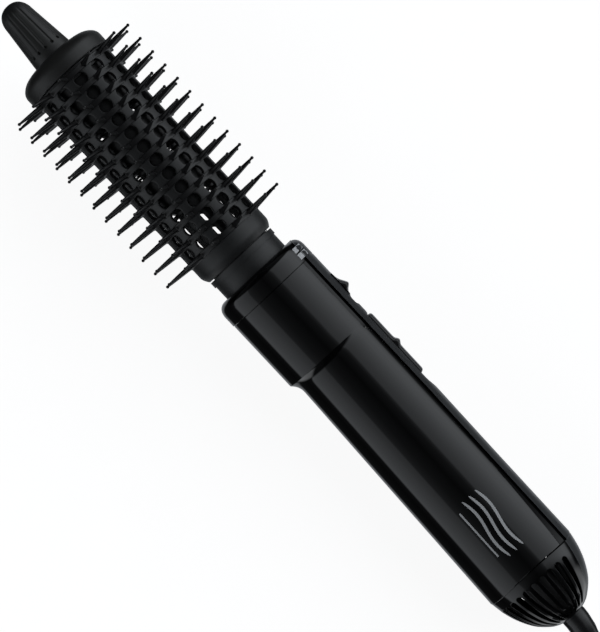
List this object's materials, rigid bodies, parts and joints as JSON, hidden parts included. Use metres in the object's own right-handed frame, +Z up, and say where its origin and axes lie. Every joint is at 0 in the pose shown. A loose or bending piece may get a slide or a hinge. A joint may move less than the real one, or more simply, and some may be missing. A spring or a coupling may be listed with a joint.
{
  "type": "hot air brush",
  "caption": "Hot air styling brush: vented round barrel that spins on an air tube, rings of ball-tipped bristles, cool tip, blower handle with slide switches, and swivel cord with plug.",
  "frame": {"origin": "on the surface it lies on, under the centre of the brush's own box (barrel, handle and swivel stem, without the cord)", "axes": "+X along the brush from the cool tip towards the cord, +Y towards the switch side, +Z up; the brush's axis dips 3.03 degrees towards the cord because it lies on its bristles"},
  "size_m": [0.4904, 0.1084, 0.0697],
  "materials": {
    "barrel_black": "moulded heat-proof nylon, matte charcoal black",
    "bristle_black": "moulded nylon bristles, satin black",
    "tip_black": "matte black heat-insulated tip",
    "gloss_black": "polished black casing",
    "strip_grey": "satin dark grey moulding",
    "button_black": "satin black buttons",
    "air_tube": "heat-dulled aluminium tube",
    "bush_brass": "oil-filled sintered bronze",
    "bush_polymer": "natural high-temperature polymer",
    "inner_black": "as-moulded dark polymer",
    "steel": "zinc-plated steel",
    "mica": "pressed mica sheet",
    "nichrome": "oxidised resistance wire",
    "board_green": "solder-masked board",
    "wire_red": "silicone-covered leads",
    "motor_can": "plated motor can",
    "fan_white": "natural nylon impeller",
    "contact_brass": "bare contact brass",
    "cord_black": "black flexible cord sheath",
    "pin_metal": "nickel-plated brass pins"
  },
  "bodies": {
    "cord_set": {"swivel_stem": "cord_black", "slip_rings": "contact_brass", "cord_boot": "cord_black", "cord_lead": "cord_black", "cord_coil": "cord_black", "cord_tail": "cord_black", "plug_body": "cord_black", "plug_pins": "pin_metal"},
    "handle": {"inner_tube": "air_tube", "tube_end": "inner_black", "end_washer": "steel", "end_screw": "steel", "neck_tube": "barrel_black", "front_ring": "gloss_black", "left_shell": "gloss_black", "right_shell": "gloss_black", "switch_strip": "strip_grey", "rear_cap": "gloss_black", "shell_screws": "steel", "mica_sleeve": "mica", "heater_boards": "mica", "heater_wire": "nichrome", "thermostat": "steel", "thermal_fuse": "steel", "fan_duct": "inner_black", "motor": "motor_can", "motor_mount": "inner_black", "switch_body": "inner_black", "rectifier_board": "board_green", "bridge_diodes": "inner_black", "lead_wires": "wire_red", "intake_screen": "steel", "swivel_housing": "inner_black", "contact_springs": "contact_brass", "release_spring": "steel"},
    "barrel": {"cool_tip": "tip_black", "tip_cap": "barrel_black", "barrel_sleeve": "barrel_black", "bristle_ring_01": "bristle_black", "bristle_ring_02": "bristle_black", "bristle_ring_03": "bristle_black", "bristle_ring_04": "bristle_black", "bristle_ring_05": "bristle_black", "bristle_ring_06": "bristle_black", "bristle_ring_07": "bristle_black", "bristle_ring_08": "bristle_black", "bristle_ring_09": "bristle_black", "bristle_ring_10": "bristle_black", "bristle_ring_11": "bristle_black", "bristle_ring_12": "bristle_black", "bristle_ring_13": "bristle_black", "rear_bush": "bush_polymer", "tip_bush": "bush_brass"},
    "rotor": {"motor_shaft": "steel", "impeller": "fan_white"},
    "mode_switch": {"mode_button": "button_black"},
    "release": {"release_button": "button_black", "lock_pawl": "steel"}
  },
  "joints": [
    {"name": "cord_swivel", "type": "hinge", "parent": "cord_set", "child": "handle", "pos_m": [0.17406, -0.00117, 0.02089], "axis": [0.9986, 0, -0.0529], "continuous": true},
    {"name": "barrel_spin", "type": "hinge", "parent": "handle", "child": "barrel", "pos_m": [-0.08558, 0, 0.03463], "axis": [0.9986, 0, -0.0529], "continuous": true},
    {"name": "fan_spin", "type": "hinge", "parent": "handle", "child": "rotor", "pos_m": [0.0742, 0.0005, 0.02617], "axis": [0.9986, 0, -0.0529], "continuous": true},
    {"name": "mode_slide", "type": "slide", "parent": "handle", "child": "mode_switch", "axis": [0.9986, 0, -0.0529], "range_m": [-0.005, 0.005]},
    {"name": "release_slide", "type": "slide", "parent": "handle", "child": "release", "axis": [0.9986, 0, -0.0529], "range_m": [-0.0035, 0], "stiffness_N_per_m": 250, "springref_m": 0.004, "deforming": ["release_spring"]}
  ]
}
